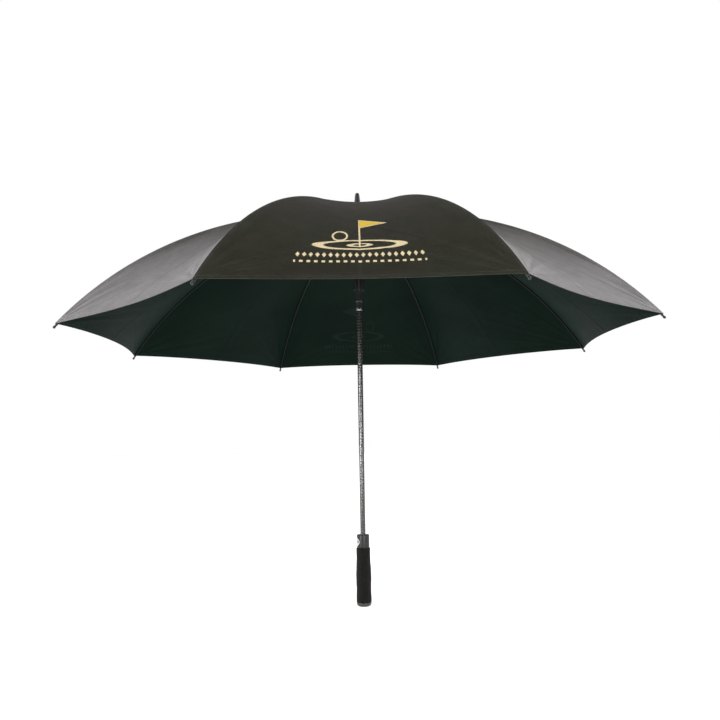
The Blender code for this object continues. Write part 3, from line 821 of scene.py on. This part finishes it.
def pulled_fibreglass(name):
    """A pultruded rod: straight strands under a satin resin skin."""
    n = Nodes.material(name)
    place = n.position()
    strands = n.noise(place, 1400.0, 2.0, 0.6)
    scuffs = n.spread(n.noise(place, 45.0, 4.0, 0.65), 0.5, 0.75)
    tone = n.blend(n.spread(strands, 0.35, 0.7), (0.004, 0.004, 0.004), (0.010, 0.010, 0.010))
    tone = n.blend(n.times(scuffs, 0.2), tone, (0.03, 0.03, 0.03))
    rough = n.spread(scuffs, 0.0, 1.0, 0.38, 0.52)
    return n.finish(tone, rough, n.bump(strands, 0.00004, 0.5), Specular_IOR_Level=0.18)


def steel(name, colour, roughness, metallic):
    """Drawn steel with fine scratches; painted when it is dark."""
    n = Nodes.material(name)
    place = n.position()
    scratch = n.noise(place, 500.0, 4.0, 0.6, stretch=(1.0, 1.0, 0.08))
    patina = n.noise(place, 35.0, 4.0, 0.6)
    tone = n.blend(n.spread(patina, 0.35, 0.7), tuple(c * 0.75 for c in colour), colour)
    rough = n.spread(scratch, 0.3, 0.7, roughness - 0.06, roughness + 0.10)
    return n.finish(tone, rough, n.bump(scratch, 0.00003, 0.6), Metallic=metallic)


def make_materials():
    out = ((0.0145, 0.0128, 0.0045), (0.0140, 0.0172, 0.0048))
    under = ((0.0010, 0.0058, 0.0034), (0.0022, 0.0088, 0.0056))
    out_sheen = (0.06, 0.30, (1.00, 0.94, 0.97))
    in_sheen = (0.02, 0.35, (0.50, 1.00, 0.80))
    return {
        "cloth_plain": cloth_material("canopy_outside", *out, out_sheen, False, True),
        "cloth_print": cloth_material("canopy_outside_print", *out, out_sheen, True, True),
        "under_plain": cloth_material("canopy_underside", *under, in_sheen, False, False),
        "under_print": cloth_material("canopy_underside_print", *under, in_sheen, True, False),
        "black_plastic": moulded("black_moulding", (0.021, 0.021, 0.022), 0.38),
        # The runner's flange gets this lighter plastic: a painted highlight on its rim.
        "wear_and_highlight": moulded("flange_highlight_moulding", (0.085, 0.085, 0.087), 0.30),
        "gloss_plastic": moulded("gloss_moulding", (0.010, 0.010, 0.010), 0.18, 0.00001, coat=0.6),
        "button_plastic": moulded("button_moulding", (0.72, 0.72, 0.73), 0.30),
        "grip_foam": foam("grip_foam_skin"),
        "fibreglass_shaft": wound_fibreglass("wound_fibreglass"),
        "rib_fibreglass": pulled_fibreglass("pulled_fibreglass"),
        "black_steel": steel("painted_steel", (0.035, 0.035, 0.036), 0.34, 0.6),
        "bright_steel": steel("plated_steel", (0.56, 0.56, 0.58), 0.32, 1.0),
    }


LOOKS = make_materials()


# Turned and moulded pieces on the shaft


def heights(node):
    """The lowest and the highest Z of a node of the frame."""
    low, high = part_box(node)
    return low[2], high[2]


def tube(name, outer, bore, soften, segments=96):
    outline = outer + [(bore, outer[-1][1]), (bore, outer[0][1])]
    return lathe(name, softened(outline, soften, closed=True), segments)


def build_shaft():
    low, high = heights("shaft")
    mesh = tube("shaft_tube", [(SHAFT_R, high), (SHAFT_R, low)], BORE_R, 0.0003, 64)
    slot_low, slot_high = pin_slot_ends()
    slot = block("slot", (-0.0012, 0.003, slot_low), (0.0012, 0.008, slot_high))
    mesh = cut_mesh(mesh, [slot])
    place_piece("shaft_tube", mesh, "frame", "fibreglass_shaft", "shaft")


def pin_slot_ends():
    """The slot behind the shaft that the drive pin runs in, over the runner's travel."""
    middle = sum(heights("drive_pin")) / 2
    slide = next(j for j in frame["joints"] if j["name"] == "runner_slide")
    travel = slide["range_m"][1]
    return middle - travel - 0.004, middle + 0.004


def build_ferrule():
    low, high = heights("ferrule")
    nose_r, foot_r = 0.0055, 0.0116
    dome = arc(0, high - nose_r, nose_r, 90, 12, 12)
    side = [(0.0060, 1.0030), (0.0066, 0.9970), (0.0088, 0.9740)]
    foot = softened([(0.0096, low + 0.0040), (foot_r, low + 0.0026), (foot_r, low)], 0.0008)
    socket = heights("shaft")[1] + 0.0005
    hollow = [(SLEEVE_BORE_R, low), (SLEEVE_BORE_R, socket), (0, socket)]
    outline = [(0, high), *dome[1:], *side, *foot, *hollow]
    mesh = lathe("ferrule_point", outline, closed=False)
    place_piece("ferrule_point", mesh, "frame", "black_plastic", "ferrule")


def crown_slots(half_width, low, high):
    """The slots round the runner's crown that the stretchers' ends swing in."""
    near_end, far_end = (CROWN_CORE_R, -half_width, low), (CROWN_CORE_R + 0.012, half_width, high)
    return [block("slot", near_end, far_end, rib_turn(k)) for k in range(1, RIB_COUNT + 1)]


def build_runner():
    """The hub: a slotted crown with a wire groove, a neck, a flange whose rim is painted lighter as a
    painted highlight, and a tail with a window.
    """
    bottom, top = heights("runner")
    groove_r, groove_half, recess = 0.0098, 0.0009, CROWN_LOW_Z + 0.0040
    groove_high, groove_low = EYE_Z + groove_half, EYE_Z - groove_half
    outer = [(CROWN_R, top), (CROWN_R, groove_high), (groove_r, groove_high), (groove_r, groove_low)]
    outer += [(CROWN_R, groove_low), (CROWN_R, CROWN_LOW_Z), (CROWN_R - 0.0012, CROWN_LOW_Z)]
    outer += [(CROWN_R - 0.0016, recess), (0.0080, recess), (NECK_R, CROWN_LOW_Z)]
    outer += [(NECK_R, FLANGE_HIGH_Z), (FLANGE_R, FLANGE_HIGH_Z), (FLANGE_R, FLANGE_LOW_Z + 0.0016)]
    outer += [(TAIL_R, FLANGE_LOW_Z), (TAIL_R, bottom)]
    mesh = tube("runner_hub", outer, SLEEVE_BORE_R, 0.0004)
    window_low, window_high = (-0.0026, -0.010, bottom - 0.001), (0.0026, -0.005, FLANGE_LOW_Z - 0.0010)
    pin_z = sum(heights("drive_pin")) / 2
    cutters = crown_slots(0.0017, CROWN_LOW_Z - 0.001, top + 0.001)
    cutters.append(block("window", window_low, window_high))
    cutters.append(bar("pin_hole", 0.0012, (0, 0.0055, pin_z), (0, 0.0090, pin_z), 24))
    looks = ("black_plastic", "wear_and_highlight")
    hub = place_piece("runner_hub", cut_mesh(mesh, cutters), "runner_body", "black_plastic", "runner", looks)
    # The faces round the flange's rim take the lighter plastic: a painted highlight, not wear.
    for face in hub.data.polygons:
        x, y, z = face.center
        if FLANGE_LOW_Z - 0.0002 < z < FLANGE_HIGH_Z + 0.0002 and hypot(x, y) > 0.0075:
            face.material_index = 1


def build_catch():
    """The bright ring on the runner's tail, with the U-shaped notch that the button's latch enters."""
    low, high = heights("runner_catch")
    ring = [(TAIL_R, high), (TAIL_R, low + 0.001), (0.0070, low)]
    mesh = tube("runner_catch_ring", ring, SLEEVE_BORE_R, 0.0004)
    notch_r, notch_z = 0.0030, high - 0.0016
    notch = [
        bar("notch", notch_r, (0, -0.010, notch_z), (0, -0.005, notch_z), 32),
        block("notch_mouth", (-notch_r, -0.010, notch_z), (notch_r, -0.005, high + 0.001)),
    ]
    mesh = cut_mesh(mesh, notch)
    place_piece("runner_catch_ring", mesh, "runner_body", "bright_steel", "runner_catch")


def build_collar():
    """The socket on top of the handle, with the scoop and the pocket of the push button."""
    bottom, top = heights("handle_collar")
    outline = [(COLLAR_R, top), (COLLAR_R, bottom), (SLEEVE_BORE_R, bottom), (SLEEVE_BORE_R, COLLAR_STEP_Z)]
    outline += [(COLLAR_BORE_R, COLLAR_STEP_Z), (COLLAR_BORE_R, top)]
    mesh = lathe("collar_shell", softened(outline, 0.0010, 5, closed=True), 128)
    button_z = sum(heights("release_button")) / 2
    cutters = [
        bar("scoop", SCOOP_R, (SCOOP_X, -0.03, button_z), (SCOOP_X, 0.03, button_z), 96),
        bar("pocket", BUTTON_R + 0.0004, (-0.030, 0, button_z), (-0.0094, 0, button_z), 64),
        bar("stem", 0.0025, (-0.012, 0, button_z), (-0.005, 0, button_z), 32),
    ]
    mesh = cut_mesh(mesh, cutters)
    place_piece("collar_shell", mesh, "frame", "black_plastic", "handle_collar")


def build_button():
    """A domed cap on a short stem, turned to face -X."""
    face, back, tip, stem_r = -BUTTON_FACE_X, 0.0124, 0.0102, 0.0022
    dome = [(0, face), (0.0020, face - 0.0001), (0.0040, face - 0.0003), (BUTTON_R - 0.0006, face - 0.0008)]
    stem = [(BUTTON_R, face - 0.0016), (BUTTON_R, back), (stem_r, back), (stem_r, tip), (0, tip)]
    mesh = lathe("button_cap", softened(dome + stem, 0.0004), 64, closed=False)
    middle = Matrix.Translation((0, 0, sum(heights("release_button")) / 2))
    mesh.transform(middle @ Matrix.Rotation(-pi / 2, 4, "Y"))
    place_piece("button_cap", mesh, "button_body", "button_plastic", "release_button")


GRIP_DENT = 0.00010


def build_grip():
    """The foam sleeve: its contour is a smooth curve through a few radii, with slight dents."""
    bottom, top = heights("grip")
    stations = [bottom, 0.0170, 0.0330, 0.0430, 0.0560, 0.0709, 0.0850, 0.1000, 0.1171, 0.1250, top]
    radii = np.array([17.7, 18.0, 17.3, 17.2, 17.8, 18.0, 17.5, 16.6, 16.2, 16.5, 16.6]) / 1000
    levels = np.linspace(bottom, top, 72)
    contour = np.interp(levels, stations, radii)
    for _ in range(6):
        contour[1:-1] = (contour[:-2] + 2 * contour[1:-1] + contour[2:]) / 4
    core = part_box("handle_core")[1][0] + GAP
    outer = [(float(r), float(z)) for r, z in zip(contour[::-1], levels[::-1])]
    mouth = softened([(core, top), outer[0], outer[3]], 0.0012)
    foot = softened([outer[-3], outer[-1], (core, bottom)], 0.0006)
    mesh = lathe("grip_sleeve", mouth + outer[4:-3] + foot, 128)
    for vertex in mesh.vertices:
        x, y, z = vertex.co
        if hypot(x, y) > core + 0.001:
            turn = atan2(y, x)
            dent = sin(3 * turn + 90 * z) * sin(170 * z) + 0.5 * sin(5 * turn - 260 * z)
            vertex.co.x += GRIP_DENT * dent * cos(turn)
            vertex.co.y += GRIP_DENT * dent * sin(turn)
    place_piece("grip_sleeve", mesh, "frame", "grip_foam", "grip")


def build_end_cap():
    top = heights("grip")[0] - GAP
    plug = [(0, PLUG_TOP), (PLUG_R - 0.0004, PLUG_TOP), (PLUG_R, PLUG_TOP - 0.0010)]
    rim = softened([(PLUG_R, top), (CAP_R, top), (CAP_R, CAP_ROUND_R)], 0.0005)
    disc_r = CAP_R - CAP_ROUND_R
    side = arc(disc_r, CAP_ROUND_R, CAP_ROUND_R, 0, -90, 16)
    foot = softened([(disc_r, 0.0), (0.0088, 0.0), (0.0082, 0.0005), (0.0, 0.0005)], 0.0003)
    mesh = lathe("end_cap_dome", plug + rim + side[1:-1] + foot, 128, closed=False)
    place_piece("end_cap_dome", mesh, "frame", "gloss_plastic", "end_cap")


# Ribs


def build_ribs():
    rods = {
        "rod": (inner_rod_mesh(), "rib_fibreglass", "rib_{}", "rib_inner_{}"),
        "clip": (clip_mesh(), "black_plastic", "rib_{}", "rib_inner_{}"),
        "clip_pin": (clip_pin_mesh(), "bright_steel", "rib_{}", "rib_inner_{}"),
        "end_rod": (outer_rod_mesh(), "rib_fibreglass", "rib_end_{}", "rib_outer_{}"),
        "tip_cup": (tip_mesh(), "black_plastic", "rib_end_{}", "rib_tip_{}"),
    }
    for k in range(1, RIB_COUNT + 1):
        place = Matrix.Rotation(rib_turn(k), 4, "Z") @ Matrix.Translation((PIVOT_R, 0, NOTCH_Z))
        for name, (shape, slot, body, node) in rods.items():
            mesh = shape.copy()
            mesh.transform(place)
            place_piece(f"{name}_{k}", mesh, body.format(k), slot, node.format(k))


def rib_points(first, last, count):
    x, z, _ = on_rib(np.linspace(first, last, count))
    return list(zip(x.tolist(), z.tolist()))


def inner_rod_mesh():
    """The rod from its eye tab in the notch to the clip."""
    points = rib_points(0.0070 / RIB_LENGTH, CLIP_SHARE - 0.0024 / RIB_LENGTH, 48)
    radii = [INNER_ROD_R * 0.8] + [INNER_ROD_R] * 46 + [INNER_ROD_R * 0.8]
    outline = [*arc(0, 0, 0.0018, 90, 270, 16), (0.0085, -0.0018), (0.0085, 0.0014)]
    eye = arc(0, 0, 0.0008, 0, 345, 23)
    return joined("rod", [sweep("rod", points, radii), slab("tab", outline, [eye], 0, 0.0017)])


def clip_place():
    x, z, slope = on_rib(CLIP_SHARE)
    return Matrix.Translation((x, 0, z)) @ Matrix.Rotation(float(slope), 4, "Y")


def clip_mesh():
    """A moulded joint: two cheeks and a sleeve on the rod."""
    low, high = -PIN_DROP - 0.0022, 0.0012
    outline = [(-0.0100, high), (-0.0100, -0.0030), (-0.0040, low)]
    outline += [(0.0022, low), (0.0040, -0.0040), (0.0040, high)]
    outline = softened(outline, 0.0012, 5, closed=True)
    cheeks = [slab("cheek", outline, [], y, 0.0010) for y in (-0.0028, 0.0028)]
    sleeve = sweep(
        "sleeve",
        [(-0.0120, 0), (-0.0116, 0), (-0.0112, 0), (-0.0034, 0), (-0.0030, 0), (-0.0026, 0)],
        [0.0022, 0.0027, 0.0028, 0.0028, 0.0027, 0.0022],
        24,
    )
    whole = joined("clip", [*cheeks, sleeve])
    whole.transform(clip_place())
    return smooth_mesh(whole)


def clip_pin_mesh():
    """The stretcher's rivet, with a head on each cheek."""
    outline = [(0, 0.0036), (0.0007, 0.0036), (0.0011, 0.0034), (0.0012, 0.0033), (0.0007, 0.0033)]
    outline += [(r, -y) for r, y in reversed(outline)]
    pin = lathe("pin", outline, 24, closed=False)
    pin.transform(Matrix.Rotation(pi / 2, 4, "X"))
    pin.transform(clip_place() @ Matrix.Translation((0, 0, -PIN_DROP)))
    return pin


def outer_rod_mesh():
    """The tapering rod from the clip to the tip."""
    count = 60
    points = rib_points(CLIP_SHARE + 0.0004 / RIB_LENGTH, 1 - 0.0030 / RIB_LENGTH, count)
    radii = [INNER_ROD_R + (TIP_ROD_R - INNER_ROD_R) * i / (count - 1) for i in range(count)]
    radii[0] = INNER_ROD_R * 0.6
    return sweep("end_rod", points, radii)


def tip_mesh():
    """A cup over the rod's end with a ball nose and a thread groove."""
    cup = [(0.0023, -0.0058), (0.0020, -0.0064), (0.0020, -0.0070), (0.0024, -0.0077), (0.0026, -0.0140)]
    bore = [(0.0020, -0.0140), (0.0020, -0.0022), (0, -0.0022)]
    nose = arc(0, -0.0030, 0.0030, 90, -38, 14)
    mesh = lathe("tip_cup", [(0, 0), *nose[1:], *cup, *bore], 32, closed=False)
    x, z, slope = on_rib(1.0)
    lay = Matrix.Rotation(pi / 2 + float(slope), 4, "Y")
    mesh.transform(Matrix.Translation((x, 0, z)) @ lay)
    return mesh


# Frame nodes that keep their own shape


def dress_frame_nodes():
    hidden_plastic = ("top_notch", "top_washer", "handle_core", "spring_plunger")
    looks = {"stretcher": "black_steel", "canopy_panel": "cloth_plain"}
    looks.update(dict.fromkeys(hidden_plastic, "black_plastic"))
    for name, obj in frame["nodes"].items():
        look = looks.get(name.rstrip("_12345678"), "bright_steel")
        if not obj.data.materials:
            obj.data.materials.append(LOOKS[look])
        for material_slot in obj.material_slots:
            material_slot.material = LOOKS[look]


# Studio


# A white backdrop for the camera, and for every other ray a dim room with pale walls at -X and +X
ROOM_LIGHT = 0.08
WALL_LIGHT = 2.55
WALL_TINT = (1.0, 0.955, 1.01)
SIDE_FROM, SIDE_FULL = 0.20, 0.70
WALL_FROM, WALL_FULL = 0.10, 0.32
CEILING_FROM, CEILING_FULL = 0.72, 0.95
FLOOR_GLOW = 0.84


def build_world():
    n = Nodes(bpy.data.worlds.new("studio"))
    x, _, z = n.split(n.node("ShaderNodeTexCoord").outputs["Generated"])
    sides = n.spread(n.size(x), SIDE_FROM, SIDE_FULL, 0.0, WALL_LIGHT, "SMOOTHSTEP")
    above = n.spread(z, WALL_FROM, WALL_FULL, 0.0, 1.0, "SMOOTHSTEP")
    below = n.spread(z, CEILING_FROM, CEILING_FULL, 1.0, 0.0, "SMOOTHSTEP")
    room = n.plus(n.times(sides, n.times(above, below)), ROOM_LIGHT)
    seen = n.node("ShaderNodeLightPath").outputs["Is Camera Ray"]
    strength = n.plus(n.times(room, n.minus(1.0, seen)), seen)
    sockets = n.tree.nodes["Background"].inputs
    n.put(sockets["Color"], n.blend(seen, WALL_TINT, (1, 1, 1)))
    n.put(sockets["Strength"], strength)
    return n.owner


def area_light(name, place, target, size, power):
    data = bpy.data.lights.new(name, "AREA")
    data.shape = "RECTANGLE"
    data.size, data.size_y = size
    data.energy = power
    lamp = add_object(name, data)
    lamp.location = place
    lamp.rotation_euler = (Vector(target) - Vector(place)).to_track_quat("-Z", "Y").to_euler()
    return lamp


def build_floor():
    """A pale, slightly glowing floor that runs into the white backdrop."""
    n = Nodes.material("pale_floor")
    tone = n.blend(n.noise(n.position(), 3.0, 4.0), (0.42, 0.42, 0.42), (0.46, 0.46, 0.46))
    normal = n.bump(n.noise(n.position(), 60.0), 0.0004, 0.3)
    glow = {"Emission_Color": (1, 1, 1, 1), "Emission_Strength": FLOOR_GLOW}
    n.finish(tone, 0.75, normal, Specular_IOR_Level=0.2, **glow)
    shape = bmesh.new()
    bmesh.ops.create_grid(shape, x_segments=1, y_segments=1, size=40)
    mesh = bpy.data.meshes.new("floor")
    shape.to_mesh(mesh)
    shape.free()
    mesh.materials.append(n.owner)
    add_object("floor", mesh)


def build_studio():
    scene = bpy.context.scene
    scene.view_settings.view_transform = "Standard"
    scene.world = build_world()
    build_floor()
    strips = {"strip_right": ((0.9, -2.4, 0.30), 56), "strip_left": ((-1.9, -1.8, 0.40), 76)}
    for name, (place, power) in strips.items():
        lamp = area_light(name, place, (0, 0, place[2]), (0.20, 1.5), power)
        lamp.visible_diffuse = False
    for name, side in (("left", -1), ("right", 1)):
        lamp = area_light(name, (side * 3.2, 0.7, 0.80), (0, 0, 0.75), (2.0, 1.2), 55)
        lamp.visible_glossy = False


def build_camera():
    """Where the photograph was taken from: below the rim, level with the shaft's middle."""
    place = (-0.010, -1.732, 0.373)
    yaw, pitch, roll = radians(0.33), radians(6.98), radians(-0.99)
    forward = Vector((sin(yaw) * cos(pitch), cos(yaw) * cos(pitch), sin(pitch)))
    right = Vector((cos(yaw), -sin(yaw), 0))
    up = right.cross(forward)
    tilted_right = right * cos(roll) + up * sin(roll)
    tilted_up = up * cos(roll) - right * sin(roll)
    data = bpy.data.cameras.new("camera")
    data.sensor_width = 36.0
    data.lens = 35.45
    camera = add_object("camera", data)
    turn = Matrix((tilted_right, tilted_up, -forward)).transposed().to_4x4()
    camera.matrix_world = Matrix.Translation(place) @ turn
    bpy.context.scene.camera = camera


build_camera()
build_studio()
dress_frame_nodes()
build_canopy()
build_shaft()
build_ferrule()
build_runner()
build_catch()
build_collar()
build_button()
build_grip()
build_end_cap()
build_ribs()
